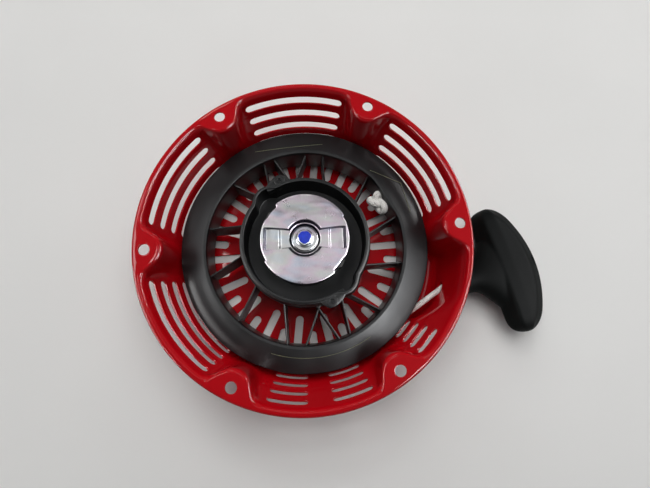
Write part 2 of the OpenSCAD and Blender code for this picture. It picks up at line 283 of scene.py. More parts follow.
def join(parts):
    """Points and faces of several (points, faces) as one."""
    points, faces, base = [], [], 0
    for p, f in parts:
        points.append(np.asarray(p, float))
        faces += [tuple(i + base for i in face) for face in f]
        base += len(p)
    return np.vstack(points), faces


def even_angles(count):
    return np.arange(count) * 360.0 / count


def prism(outline, z_low, z_top, edge=0.3):
    """Upright solid of an outline with softened top and bottom edges."""
    p = np.asarray(outline, float)
    n = len(p)
    side = np.roll(p, -1, axis=0) - np.roll(p, 1, axis=0)
    normal = unit(np.stack([side[:, 1], -side[:, 0]], axis=1))
    rings = []
    for inset, z in ((edge, z_low), (0.3 * edge, z_low + 0.3 * edge), (0, z_low + edge),
                     (0, z_top - edge), (0.3 * edge, z_top - 0.3 * edge), (edge, z_top)):
        rings.append(np.column_stack([p - normal * inset, np.full(n, z)]))
    return np.vstack(rings), capped_faces(len(rings), n)


def frames_along(path):
    """Tangent and two normals at each point of a path, without twist."""
    path = np.asarray(path, float)
    tangent = unit(np.gradient(path, axis=0))
    normals = [UP if abs(tangent[0][2]) < 0.9 else np.array([1.0, 0.0, 0.0])]
    for t in tangent:
        normals.append(unit(normals[-1] - t * (normals[-1] @ t)))
    normals = np.array(normals[1:])
    return tangent, normals, np.cross(tangent, normals)


def tube(path, radius, sides=12, closed=False):
    """Round tube along a path; radius may change along it."""
    path = np.asarray(path, float)
    _, n1, n2 = frames_along(path)
    radius = np.broadcast_to(np.asarray(radius, float), (len(path),))[:, None, None]
    a = even_angles(sides)[None, :, None]
    ring = path[:, None, :] + radius * (n1[:, None, :] * cosd(a) + n2[:, None, :] * sind(a))
    faces = loop_faces(len(path), sides, True) if closed else capped_faces(len(path), sides)
    return ring.reshape(-1, 3), faces


def spaced(path, count, endpoint=True):
    """Points spaced evenly along a path."""
    length = lengths(path)
    at = np.linspace(0, length[-1], count, endpoint=endpoint)
    return np.column_stack([np.interp(at, length, column) for column in path.T])


def smooth_path(points, step):
    """Evenly spaced points on a Catmull-Rom curve through the given points."""
    p = np.asarray(points, float)
    p = np.vstack([2 * p[0] - p[1], p, 2 * p[-1] - p[-2]])
    out = []
    for i in range(1, len(p) - 2):
        t = np.linspace(0, 1, 40, endpoint=False)[:, None]
        a, b, c, d = p[i - 1], p[i], p[i + 1], p[i + 2]
        out.append(0.5 * (2 * b + (c - a) * t + (2 * a - 5 * b + 4 * c - d) * t ** 2
                          + (3 * b - a - 3 * c + d) * t ** 3))
    out = np.vstack(out + [p[-2:-1]])
    return spaced(out, max(int(lengths(out)[-1] / step), 2) + 1)


# ---- materials

class Nodes:
    """Short names for building one procedural material."""

    def __init__(self, name):
        self.material = bpy.data.materials.new(name)
        self.material.use_nodes = True
        self.tree = self.material.node_tree
        self.shader = self.tree.nodes["Principled BSDF"]
        self.coords = self.tree.nodes.new("ShaderNodeTexCoord")

    def put(self, value, socket):
        """Links another node's output to a socket, or sets the socket to a number or a colour."""
        if isinstance(value, bpy.types.NodeSocket):
            self.tree.links.new(value, socket)
        else:
            socket.default_value = (*value, 1.0) if isinstance(value, tuple) else value

    def new(self, kind, **values):
        """A node with some of its sockets filled; a socket's name has _ for each space."""
        node = self.tree.nodes.new(kind)
        for name, value in values.items():
            self.put(value, node.inputs[name.replace("_", " ")])
        return node

    def scaled(self, scale):
        """Object coordinates stretched by a vector."""
        node = self.new("ShaderNodeMapping", Vector=self.coords.outputs["Object"])
        node.inputs["Scale"].default_value = scale
        return node.outputs["Vector"]

    def noise(self, scale, detail=3.0, roughness=0.55, vector=None):
        vector = vector or self.coords.outputs["Object"]
        node = self.new("ShaderNodeTexNoise", Scale=scale, Detail=detail, Roughness=roughness, Vector=vector)
        return node.outputs["Fac"]

    def ramp(self, value, stops):
        node = self.new("ShaderNodeValToRGB", Fac=value)
        ramp = node.color_ramp
        while len(ramp.elements) < len(stops):
            ramp.elements.new(0.5)
        for element, (at, colour) in zip(ramp.elements, stops):
            element.position = at
            element.color = (*colour, 1.0)
        return node.outputs["Color"]

    def span(self, value, low, high):
        """A noise's usual range, 0.3 to 0.7, as a range from low to high."""
        node = self.new("ShaderNodeMapRange", Value=value, From_Min=0.3, From_Max=0.7,
                        To_Min=low, To_Max=high)
        return node.outputs["Result"]

    def mix(self, factor, a, b, how="MIX"):
        node = self.new("ShaderNodeMix", Factor=factor)
        node.data_type = "RGBA"
        node.blend_type = how
        # the colour sockets share their names with the float and vector ones
        sockets = [s for s in node.inputs if s.type == "RGBA"]
        self.put(a, sockets[0])
        self.put(b, sockets[1])
        return [s for s in node.outputs if s.type == "RGBA"][0]

    def math(self, how, *values):
        node = self.new("ShaderNodeMath")
        node.operation = how
        for value, socket in zip(values, node.inputs):
            self.put(value, socket)
        return node.outputs[0]

    def bump(self, height, strength, distance_mm=0.2):
        node = self.new("ShaderNodeBump", Height=height, Strength=strength, Distance=distance_mm * MM)
        self.put(node.outputs["Normal"], self.shader.inputs["Normal"])

    def set(self, **values):
        names = {"colour": "Base Color", "roughness": "Roughness", "metallic": "Metallic",
                 "coat": "Coat Weight", "coat_roughness": "Coat Roughness", "specular": "Specular IOR Level",
                 "sheen": "Sheen Weight", "sheen_roughness": "Sheen Roughness"}
        for key, value in values.items():
            self.put(value, self.shader.inputs[names[key]])


def red_paint():
    n = Nodes("red_paint")
    fine = n.noise(300, 3)
    n.set(colour=n.ramp(n.noise(14, 2), [(0.3, (0.45, 0.0010, 0.0052)), (0.7, (0.49, 0.0018, 0.0070))]))
    n.set(roughness=n.span(fine, 0.42, 0.5), specular=0.02)
    n.set(coat=0.75, coat_roughness=n.span(fine, 0.02, 0.045))
    n.bump(n.noise(240, 2), 0.035, 0.15)
    return n.material


def reel_plastic():
    n = Nodes("reel_plastic")
    grain = n.noise(1800, 3)
    patch = n.noise(35, 4)
    scuff = n.noise(260, 6, 0.7, n.scaled((1.0, 0.18, 0.6)))
    base = n.ramp(patch, [(0.3, (0.0034, 0.0037, 0.0042)), (0.7, (0.0058, 0.0061, 0.0068))])
    marks = n.ramp(scuff, [(0.62, (0, 0, 0)), (0.78, (1, 1, 1))])
    n.set(colour=n.mix(n.math("MULTIPLY", marks, 0.3), base, (0.026, 0.026, 0.028)))
    n.set(roughness=n.span(patch, 0.33, 0.44), specular=0.5)
    n.bump(grain, 0.10, 0.1)
    return n.material


def zinc_plate():
    """Bright zinc with a faint pink and blue passivation; its sloped walls and edges carry painted shade."""
    n = Nodes("zinc_plate")
    cloud = n.noise(60, 3)
    tint = n.noise(34, 2, 0.5, n.scaled((1.0, 2.4, 1.0)))
    grain = n.noise(1400, 3, 0.6, n.scaled((1.0, 0.35, 1.0)))
    base = n.ramp(tint, [(0.28, (0.58, 0.66, 0.78)), (0.44, (0.80, 0.66, 0.76)),
                         (0.56, (0.74, 0.74, 0.72)), (0.74, (0.56, 0.68, 0.80))])
    # painted shade: the colour darkens where the surface tilts away from flat, on the recess walls and the
    # rolled rim, in place of the dark surroundings these slopes mirror
    slope = n.new("ShaderNodeSeparateXYZ")
    n.put(n.coords.outputs["Normal"], slope.inputs["Vector"])
    edge = n.ramp(n.math("ABSOLUTE", slope.outputs["Z"]), [(0.78, (0.09, 0.09, 0.11)), (0.985, (1, 1, 1))])
    n.set(colour=n.mix(1.0, n.mix(n.span(grain, 0.0, 0.35), base, (0.86, 0.86, 0.87)), edge, "MULTIPLY"))
    n.set(metallic=1.0, roughness=n.span(cloud, 0.26, 0.36))
    dents = n.noise(75, 1, 0.4, n.scaled((1.0, 1.8, 1.0)))
    n.bump(n.math("MULTIPLY_ADD", grain, 0.0012, dents), 0.7, 0.6)
    return n.material


def plain_steel(name, light, dark, rough):
    n = Nodes(name)
    lines = n.noise(500, 4, 0.6, n.scaled((1.0, 1.0, 0.15)))
    n.set(colour=n.ramp(n.noise(90, 3), [(0.3, dark), (0.7, light)]))
    n.set(metallic=1.0, roughness=n.span(lines, rough - 0.07, rough + 0.1))
    n.bump(lines, 0.08, 0.1)
    return n.material


def ratchet_plastic():
    n = Nodes("ratchet_plastic")
    n.set(colour=n.ramp(n.noise(120, 4), [(0.3, (0.045, 0.044, 0.042)), (0.7, (0.075, 0.073, 0.07))]))
    n.set(roughness=n.span(n.noise(300, 3), 0.4, 0.55))
    n.bump(n.noise(1500, 3), 0.12, 0.1)
    return n.material


def grip_rubber():
    n = Nodes("grip_rubber")
    patch = n.noise(45, 4)
    grain = n.noise(2600, 3, 0.6)
    dust = n.ramp(n.noise(160, 6, 0.7), [(0.6, (0, 0, 0)), (0.85, (1, 1, 1))])
    base = n.ramp(patch, [(0.3, (0.0036, 0.0045, 0.0045)), (0.7, (0.0052, 0.0062, 0.0062))])
    n.set(colour=n.mix(n.math("MULTIPLY", dust, 0.12), base, (0.026, 0.030, 0.030)))
    n.set(roughness=n.span(grain, 0.46, 0.62), specular=0.06)
    n.bump(grain, 0.25, 0.12)
    return n.material


def rope_strand():
    """Yarn of the braided rope: pale with a few dark fibres."""
    n = Nodes("rope_strand")
    fibre = n.noise(1500, 4, 0.65)
    fleck = n.ramp(n.noise(420, 3), [(0.60, (0, 0, 0)), (0.66, (1, 1, 1))])
    base = n.ramp(fibre, [(0.3, (0.70, 0.69, 0.66)), (0.7, (0.90, 0.89, 0.86))])
    n.set(colour=n.mix(n.math("MULTIPLY", fleck, 0.45), base, (0.16, 0.155, 0.15)))
    n.set(roughness=0.85, sheen=0.3, sheen_roughness=0.4)
    n.bump(fibre, 0.35, 0.1)
    return n.material


def blue_mark():
    n = Nodes("paint_mark")
    n.set(colour=n.ramp(n.noise(500, 3), [(0.3, (0.003, 0.024, 0.50)), (0.7, (0.006, 0.048, 0.72))]))
    n.set(roughness=n.span(n.noise(700, 2), 0.4, 0.6), specular=0.2)
    n.bump(n.noise(450, 3), 0.3, 0.1)
    return n.material


def mould_line():
    n = Nodes("mould_line")
    n.set(colour=n.ramp(n.noise(200, 3), [(0.3, (0.10, 0.11, 0.055)), (0.7, (0.19, 0.20, 0.10))]))
    n.set(roughness=0.5)
    return n.material


RED = red_paint()
BLACK = reel_plastic()
ZINC = zinc_plate()
STEEL = plain_steel("steel", (0.62, 0.62, 0.63), (0.46, 0.46, 0.48), 0.38)
SPRING = plain_steel("spring_steel", (0.34, 0.35, 0.37), (0.22, 0.23, 0.25), 0.38)
PAWL = ratchet_plastic()
RUBBER = grip_rubber()
ROPE = rope_strand()
BLUE = blue_mark()
LINE = mould_line()


# ---- the case's surface

def cone_r(z):
    return WALL_TOP_R + WALL_DRAFT * z


def pocket_distance(x, y, z):
    """How far outside the rope pocket's outline a point lies in plan; negative inside.
    One slanted side bounds it below, and it ends just above the X axis and well inside the wall."""
    side = -sind(POCKET_ANGLE) * (x - POCKET_POINT[0]) + cosd(POCKET_ANGLE) * (y - POCKET_POINT[1])
    outer = np.hypot(x, y) - (POCKET_R + POCKET_DRAFT * z)
    return smooth_max(smooth_max(outer, -side, 8.0), smooth_max(y - 3.0, 60.0 - x, 5.0), 5.0)


def cavity_distance(r, angle, z):
    """How far outside the case's inner room a point lies; zero on the engine side's surface."""
    x, y = r * cosd(angle), r * sind(angle)
    room = smooth_min(r - cone_r(z), pocket_distance(x, y, z), 3.5)
    near = np.round(angle / 60.0) * 60.0
    boss = np.hypot(x - BOLT_CIRCLE_R * cosd(near), y - BOLT_CIRCLE_R * sind(near))
    boss = boss - (BOSS_R_TOP - BOSS_DRAFT * z)
    top, low = BOSS_BLEND
    return smooth_max(room, -boss, low + (top - low) * smooth_step(z, -18.0, -1.0))


# the wall is looked for between these radii, in steps
SEARCH = (82.0, 124.0, 0.5)


def wall_radius(angle, z):
    """Radius of the case's inner wall: the first crossing met from the middle outwards."""
    angle, z = np.broadcast_arrays(np.asarray(angle, float), np.asarray(z, float))
    low = np.full(angle.shape, SEARCH[0])
    found = np.zeros(angle.shape, bool)
    for r in np.arange(*SEARCH):
        inside = cavity_distance(r, angle, z) < 0
        low = np.where(~found & inside, r, low)
        found |= ~inside
    high = low + SEARCH[2]
    for _ in range(18):
        mid = (low + high) / 2
        inside = cavity_distance(mid, angle, z) < 0
        low, high = np.where(inside, mid, low), np.where(inside, high, mid)
    return (low + high) / 2


RIM_ROLL = 1.8
# how far the flange's inner curve reaches outwards and down
TOP_BLEND = (3.2, 4.0)
# how far the floor's outer curve reaches inwards, and the height where it starts
CORNER = (6.5, -48.12)
FLOOR_CELL = (79.0, 47.0)
# outer and inner radius of the floor's raised middle, its height, and its bore's radius
DISH = (23.5, 18.5, 2.5, 6.3)
ROLL_STEPS, FLAT_STEPS, BLEND_STEPS, ROW_STEPS, ROWS, CORNER_STEPS = 5, 8, 7, 8, 4, 8
APRON_STEPS, CELL_STEPS, INNER_STEPS, DISH_STEPS, HUB_STEPS = 4, 16, 4, 8, 3

# first row of grid lines in each zone, from the rim inwards
FLAT_0 = ROLL_STEPS
BLEND_0 = FLAT_0 + FLAT_STEPS
ROWS_0 = BLEND_0 + BLEND_STEPS
CORNER_0 = ROWS_0 + ROWS * ROW_STEPS
APRON_0 = CORNER_0 + CORNER_STEPS
CELL_0 = APRON_0 + APRON_STEPS
INNER_0 = CELL_0 + CELL_STEPS


def bezier(p0, p1, p2, t):
    return (1 - t) ** 2 * p0 + 2 * t * (1 - t) * p1 + t * t * p2


def case_grid(angles):
    """Points of the engine side's surface.
    There is one column per angle, and one row per line from the rim to the middle."""
    a = np.asarray(angles, float)
    zero = np.zeros_like(a)
    top = wall_radius(a, zero)
    low_control = wall_radius(a, zero + FLOOR_Z)
    flat_out = FLANGE_R - RIM_ROLL
    flat_in = np.minimum(top + TOP_BLEND[0], flat_out - 1.0)
    rows = []
    for t in np.linspace(-15, 90, ROLL_STEPS, endpoint=False):
        rows.append((zero + flat_out + RIM_ROLL * cosd(t), zero - RIM_ROLL + RIM_ROLL * sind(t)))
    for t in np.linspace(0, 1, FLAT_STEPS, endpoint=False):
        rows.append((flat_out + (flat_in - flat_out) * t, zero))
    side = wall_radius(a, zero - TOP_BLEND[1])
    for t in np.linspace(0, 1, BLEND_STEPS, endpoint=False):
        rows.append((bezier(flat_in, top, side, t), bezier(0.0, 0.0, -TOP_BLEND[1], t) + zero))
    depth = CORNER[1]
    for z in np.linspace(ROW_TOP, depth, ROWS * ROW_STEPS, endpoint=False):
        rows.append((wall_radius(a, zero + z), zero + z))
    side = wall_radius(a, zero + depth)
    foot = low_control - CORNER[0]
    for t in np.linspace(0, 1, CORNER_STEPS, endpoint=False):
        rows.append((bezier(side, low_control, foot, t), bezier(depth, FLOOR_Z, FLOOR_Z, t) + zero))
    for t in np.linspace(0, 1, APRON_STEPS, endpoint=False):
        rows.append((foot + (FLOOR_CELL[0] - foot) * t, zero + FLOOR_Z))
    for r in np.linspace(*FLOOR_CELL, CELL_STEPS, endpoint=False):
        rows.append((zero + r, zero + FLOOR_Z))
    for r in np.linspace(FLOOR_CELL[1], DISH[0], INNER_STEPS, endpoint=False):
        rows.append((zero + r, zero + FLOOR_Z))
    for t in np.linspace(0, 1, DISH_STEPS, endpoint=False):
        r = DISH[0] + (DISH[1] - DISH[0]) * t
        rows.append((zero + r, zero + FLOOR_Z + DISH[2] * smooth_step(t, 0, 1)))
    for r in np.linspace(DISH[1], DISH[3], HUB_STEPS + 1):
        rows.append((zero + r, zero + FLOOR_Z + DISH[2]))
    r = np.array([row[0] for row in rows])
    z = np.array([row[1] for row in rows])
    return np.stack([r * cosd(a), r * sind(a), z], axis=-1)


def case_angles():
    """Half-degree lines round the pads and the rope pocket, whole degrees elsewhere."""
    lines = np.arange(720) / 2
    near_pad = np.abs((lines + 30) % 60 - 30) <= 10
    return lines[(lines % 1 == 0) | near_pad | (lines >= 317)]


def slot_outline(half_length, side_steps, end_steps):
    """Loop of points round a slot: along the top, round one end, back along the bottom, round the other."""
    flat = half_length - SLOT_HALF
    side = [(x, SLOT_HALF) for x in np.linspace(-flat, flat, side_steps, endpoint=False)]
    end = [(flat + SLOT_HALF * cosd(t), SLOT_HALF * sind(t))
           for t in np.linspace(90, -90, end_steps, endpoint=False)]
    half = np.array(side + end)
    return np.vstack([half, -half])


def round_hole(radius, angles, stretch=1.0):
    return np.stack([stretch * radius * cosd(angles), radius * sind(angles)], axis=1)


class CaseMesh:
    """The engine side's surface as a grid.
    Some blocks of it are replaced by a hole and rings of quads round it."""

    def __init__(self):
        self.angles = case_angles()
        self.columns = len(self.angles)
        grid = case_grid(self.angles)
        self.rows = len(grid)
        self.points = list(grid.reshape(-1, 3))
        self.used = np.ones((self.rows - 1, self.columns), bool)
        self.extra = []

    def index(self, row, column):
        return row * self.columns + column % self.columns

    def column(self, angle):
        return int(np.argmin(np.abs((self.angles - angle + 180) % 360 - 180)))

    def block(self, first_angle, last_angle, first_row, last_row):
        """Takes a block out of the grid and returns its boundary: along its first row, down, back, and up."""
        c0, c1 = self.column(first_angle), self.column(last_angle)
        if c1 <= c0:
            c1 += self.columns
        self.used[first_row:last_row, np.arange(c0, c1) % self.columns] = False
        loop = [self.index(first_row, c) for c in range(c0, c1)]
        loop += [self.index(r, c1) for r in range(first_row, last_row)]
        loop += [self.index(last_row, c) for c in range(c1, c0, -1)]
        loop += [self.index(r, c0) for r in range(last_row, first_row, -1)]
        return loop, (c1 - c0, last_row - first_row)

    def ring(self, loop, hole, to_flat, place, rings=(0.45, 0.78, 0.93, 1.0)):
        """Fills between a block's boundary and a hole. to_flat lays a point out flat, and place takes it
        back. The hole is a flat loop, or a function of the directions of the boundary's flat points."""
        outer = np.array([to_flat(self.points[i]) for i in loop])
        if callable(hole):
            hole = hole(np.degrees(np.arctan2(outer[:, 1], outer[:, 0])))
        before = loop
        for t in rings:
            ids = list(range(len(self.points), len(self.points) + len(loop)))
            self.points += [place(q) for q in outer + (hole - outer) * t]
            for k in range(len(loop)):
                m = (k + 1) % len(loop)
                self.extra.append((before[k], before[m], ids[m], ids[k]))
            before = ids

    def faces(self):
        out = []
        for row in range(self.rows - 1):
            for c in range(self.columns):
                if self.used[row, c]:
                    out.append((self.index(row, c), self.index(row, c + 1),
                                self.index(row + 1, c + 1), self.index(row + 1, c)))
        return out + self.extra

    def wall_slot(self, row, start, end, cell_start, cell_end):
        first = ROWS_0 + row * ROW_STEPS
        z_mid = ROW_TOP - ROW_PITCH * (row + 0.5)
        r_mid = cone_r(z_mid)
        slope = math.hypot(1.0, WALL_DRAFT)
        middle = (start + end) / 2
        half = math.radians((end - start) / 2) * r_mid

        def to_flat(p):
            a = (math.degrees(math.atan2(p[1], p[0])) - middle + 180) % 360 - 180
            return np.array([math.radians(a) * r_mid, (p[2] - z_mid) * slope])

        def place(q):
            z = z_mid + q[1] / slope
            return polar(cone_r(z), middle + math.degrees(q[0] / r_mid), z)

        loop, (along, down) = self.block(cell_start, cell_end, first, first + ROW_STEPS)
        self.ring(loop, slot_outline(half, along, down), to_flat, place)

    def floor_slot(self, angle, inner):
        def to_flat(p):
            return np.array(turned(p, -angle)[:2])[::-1]

        def place(q):
            return turned((q[1], q[0], FLOOR_Z), angle)

        loop, (along, down) = self.block(angle - 5, angle + 5, CELL_0, INNER_0)
        # the block's boundary starts at the slot's outer end
        x, y = np.roll(slot_outline((FLOOR_SLOT_OUT - inner) / 2, down, along), -down, axis=0).T
        self.ring(loop, np.column_stack([-y, x + (FLOOR_SLOT_OUT + inner) / 2]), to_flat, place)

    def rope_hole(self, angle, z_mid, radius):
        """Round hole in the pocket's wall for the rope, stretched because the rope passes it at a slant."""
        r_mid = float(wall_radius(angle, z_mid))

        def to_flat(p):
            turn = math.degrees(math.atan2(p[1], p[0])) % 360 - angle
            return np.array([math.radians(turn) * r_mid, p[2] - z_mid])

        def place(q):
            a, z = angle + math.degrees(q[0] / r_mid), z_mid + q[1]
            return polar(float(wall_radius(a, z)), a, z)

        loop, _ = self.block(angle - 4, angle + 4, ROWS_0 + 21, ROWS_0 + 31)
        self.ring(loop, lambda a: round_hole(radius, a, 1.15), to_flat, place)

    def bolt_hole(self, angle):
        loop, _ = self.block(angle - 5, angle + 5, FLAT_0, BLEND_0)

        def to_flat(p):
            q = turned(p, -angle)
            return np.array([q[0] - BOLT_CIRCLE_R, q[1]])

        def place(q):
            return turned((q[0] + BOLT_CIRCLE_R, q[1], 0.0), angle)

        self.ring(loop, lambda a: round_hole(BOLT_HOLE_R, a), to_flat, place, (0.35, 0.65, 0.88, 1.0))


def case_shell():
    case = CaseMesh()
    for row in range(ROWS):
        for group in SLOT_GROUPS:
            case.wall_slot(row, *group)
        # the short group by the pocket gets shorter towards the floor
        case.wall_slot(row, 309.4 + 0.25 * row, 320.1, 305, 322)
    for k in range(36):
        case.floor_slot(10 * k, FLOOR_SLOT_LONG if k % 2 == 0 else FLOOR_SLOT_SHORT)
    for k in range(6):
        case.bolt_hole(60 * k)
    case.rope_hole(*ROPE_HOLE)
    obj = add_mesh("case_pressing", np.array(case.points), case.faces(), RED, "case", "red_paint")
    solid = obj.modifiers.new("sheet", "SOLIDIFY")
    solid.thickness = SHEET * MM
    solid.offset = -1.0
    solid.use_even_offset = True
    edges = obj.modifiers.new("edges", "BEVEL")
    edges.width = 0.35 * MM
    edges.segments = 2
    edges.limit_method = "ANGLE"
    edges.angle_limit = math.radians(50)
    bake_modifiers(obj)
    sharpen(obj, 40)
    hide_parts("case_shell", "case_back")


def rope_nose():
    """Round nose pressed out of the pocket's wall, which holds the eyelet."""
    along, across = pull_point(1) - GUIDE, pull_point(0, 1) - GUIDE
    turn = even_angles(64)
    rows = []
    for radius, end in ((7.2, None), (7.2, 6.6), (6.9, 7.8), (6.3, 8.7), (5.6, 9.0), (4.7, 9.0),
                        (4.7, 7.6), (5.4, 7.6), (5.8, 7.0), (5.8, None)):
        out = GUIDE + across * (radius * cosd(turn))[:, None] + UP * (radius * sind(turn))[:, None]
        if end is None:
            # start in the middle of the wall's sheet
            wall = POCKET_R + SHEET / 2 + POCKET_DRAFT * out[:, 2]
            b = out @ along
            end = -b + np.sqrt(b * b - (out[:, 0] ** 2 + out[:, 1] ** 2 - wall ** 2))
        rows.append(out + along * (np.zeros(len(turn)) + end)[:, None])
    faces = loop_faces(len(rows), len(turn), closed=True)
    obj = add_mesh("rope_nose", np.array(rows).reshape(-1, 3), faces, RED, "case", "red_paint")
    sharpen(obj, 40)


# ---- the reel

def reel_ring():
    """Conical ring with the rope groove round it; its inner edge has one straight stretch for the knot."""
    outline = rounded([
        (DRUM_R - 2, -50), (DRUM_R + 0.4, -50), (DRUM_R + 0.4, -46.4), (88.3, -45.8), (88.3, -43.9),
        (DRUM_R, -42.5), (DRUM_R, -37.5), (REEL_R - 0.2, RING_EDGE - 1.9), (REEL_R, RING_EDGE),
        (CONE_R, RING_TOP), (DRUM_R - 0.5, RING_TOP - 0.1), (DRUM_R - 1.0, -30)
    ], [0.5, 0.5, 0.4, 0.5, 0.5, 0.3, 0.3, 0.9, 0.9, 1.0, 0.6, 0.8], 3)

    def flatten(r, z, a):
        chord = CHORD_R / np.maximum(cosd(a - CHORD_ANGLE), 0.3)
        inner = r < DRUM_R + 2.2
        limit = chord + (r - (DRUM_R - 1.0))
        return np.where(inner, smooth_min(r, limit, 0.8), r), z

    return lathe(outline, even_angles(360), shape=flatten)


def hub_shape(grow):
    """Radius of the hub's wall at an angle: a circle with two bulges."""
    def radius(base, a):
        out = base
        for centre in (BULGE_ANGLE, BULGE_ANGLE + 180):
            d = np.radians((a - centre + 180) % 360 - 180)
            r = BULGE_R + grow
            aside = BULGE_AT * np.sin(d)
            reach = BULGE_AT * np.cos(d) + np.sqrt(np.maximum(r * r - aside ** 2, 0))
            reach = np.where((np.abs(aside) < r) & (np.cos(d) > 0), reach, 0)
            out = smooth_max(out, reach, 2.0)
        return out
    return radius


def reel_hub():
    """Cup on the engine side, with a step round its rim, and the spring's housing below it."""
    wall = rounded([
        (CUP_R, CUP_FLOOR), (CUP_R, HUB_RIM), (HUB_R - 0.7, HUB_RIM), (HUB_R - 0.7, HUB_RIM - 1.2),
        (HUB_R + 0.3, HUB_RIM - 1.4), (HUB_R + 0.3, -14.5), (HUB_R + 1.6, -16), (HUB_R + 1.6, -18.5),
        (HUB_R, -20), (HUB_R, -54.3), (CUP_R, -54.3), (CUP_R, -30), (30, -30), (30, CUP_FLOOR)
    ], [0.8, 0.5, 0.4, 0.2, 0.4, 0.6, 0.5, 0.5, 0.6, 0.5, 0.4, 0.6, 0.2, 0.2], 3)

    def bulged(r, z, a):
        outer = hub_shape(1.1)(HUB_R, a) - HUB_R
        inner = hub_shape(-1.1)(CUP_R, a) - CUP_R
        move = np.where(r > (CUP_R + HUB_R) / 2, outer, np.where(r > CUP_R - 1.2, inner, 0))
        return r + np.where(z > -29.5, move, 0), z

    return lathe(wall, even_angles(360), shape=bulged)


def reel_deck():
    """Deck in the middle of the cup that carries the ratchets, and the bore below it."""
    outline = rounded([
        (7.05, -18.5), (30.5, -18.5), (30.5, CUP_FLOOR), (31.5, -29), (28, -30), (28, -21),
        (10.5, -21), (10.5, -38), (7.05, -38)
    ], [0.4, 0.8, 0.6, 0.2, 0.3, 0.8, 0.8, 0.4, 0.4], 3)
    return lathe(outline[::-1], even_angles(160))


def rib_plate(start, end, top_in, top_out):
    """Thin moulded rib with a rounded top that leans from the hub to the drum."""
    p, q = polar(HUB_R - 0.8, start), polar(DRUM_R - 0.8, end)
    along = unit(q - p)
    across = np.array([-along[1], along[0], 0])
    rings = []
    for t in np.linspace(0, 1, 9):
        top = top_in + (top_out - top_in) * t
        base = p + (q - p) * t
        row = [(-0.95, RIB_LOW), (-0.65, top - 0.6), (-0.5, top - 0.2), (-0.2, top),
               (0.2, top), (0.5, top - 0.2), (0.65, top - 0.6), (0.95, RIB_LOW)]
        rings.append([base + across * x + np.array([0, 0, z]) for x, z in row])
    return np.array(rings).reshape(-1, 3), capped_faces(len(rings), len(rings[0]), flip=True)


def ear(angle):
    """Flat ear with a hole on the hub's outside, on a web that runs into the hub's bulge."""
    ring = [(1.3, -16), (1.3, -8.6), (1.6, -8.1), (3.9, -8.1), (3.9, -16)]
    points, faces = lathe(rounded(ring, [0.1, 0.2, 0.2, 0.5, 0.3], 3)[::-1], even_angles(40))
    corners = ((43, -11), (46.5, -8), (50.2, -3), (50.4, 0), (50.2, 3), (48.6, 9), (46.5, 14), (43, 14))
    web = [tuple(polar(r, angle + a)[:2]) for r, a in corners]
    plate = prism(rounded(web, 0.6, 2), -16.0, -9.0, 0.3)
    return join([(points + polar(EAR_AT, angle), faces), plate])


def pin_boss(angle):
    outline = rounded([(2.5, -27), (2.5, -19.2), (4.2, -19.2), (4.2, -27)], 0.3, 2)
    points, faces = lathe(outline[::-1], even_angles(32))
    return points + polar(23, angle), faces


def reel():
    parts = [reel_ring(), reel_hub(), reel_deck()]
    for half in (0, 180):
        for start in (3.5, 34, 65, 95, 124, 155):
            parts.append(rib_plate(start + half, start + 10 + half, RING_TOP, -31))
        parts.append(rib_plate(99.5 + half, 85.6 + half, -29, -32))
        parts.append(rib_plate(120.7 + half, 111.7 + half, -29, -32))
        parts.append(ear(108.3 + half))
        parts.append(pin_boss(78 + half))
    points, faces = join(parts)
    obj = add_mesh("reel_moulding", points, faces, BLACK, "reel", "reel_plastic")
    sharpen(obj, 38)
    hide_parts("reel_hub", "reel_ring", "reel_ribs")


def mould_lines():
    """Faint raised lines on the conical ring."""
    def on_ring(x, y):
        r = math.hypot(x, y)
        z = RING_TOP + (CONE_R - r) * (RING_TOP - RING_EDGE) / (REEL_R - CONE_R) + 0.02
        return np.array([x, y, z])

    def straight(start, end, count):
        return [start + (end - start) * t for t in np.linspace(0, 1, count)]

    corner = polar(88.3, 29)
    runs = [straight(polar(83.8, 113), polar(81.5, 76), 24),
            [polar(80.5, a) for a in np.linspace(248, 300, 40)],
            straight(polar(76.5, 45), corner, 16), straight(corner, polar(83.2, 13), 16)]
    points, faces = join([tube([on_ring(*p[:2]) for p in run], 0.2, 6) for run in runs])
    add_mesh("reel_mould_lines", points, faces, LINE, "reel", "reel_plastic")


# ---- ratchet guide, collar and screw

def bow_tie_radius(angle):
    """Distance from the middle to the bow-tie recess's edge at an angle."""
    a = np.radians(np.asarray(angle, float) - RECESS_TURN)
    c, s = np.abs(np.cos(a)), np.abs(np.sin(a))
    (x0, y0), (x1, y1) = RECESS_SIDE
    slope = (y1 - y0) / (x1 - x0)
    side = (y0 - x0 * slope) / np.maximum(s - slope * c, 1e-3)
    side = np.where(s - slope * c > 0, side, 99.0)
    end = x1 / np.maximum(c, 1e-3)
    arm = smooth_min(side, end, 7.0)
    return smooth_max(arm, WELL_R, 2.0)


def guide_edge(angle):
    """Radius of the disc's edge: two wide lobes and two notches."""
    a = np.asarray(angle, float) % 180
    lobe_on = smooth_step(a, 25.2, 26.4) * (1 - smooth_step(a, 125.2, 126.6))
    notch = smooth_step(a, 126.0, 128.0) * (1 - smooth_step(a, 145.0, 153.0))
    return 30.7 + 1.1 * lobe_on - 0.9 * notch


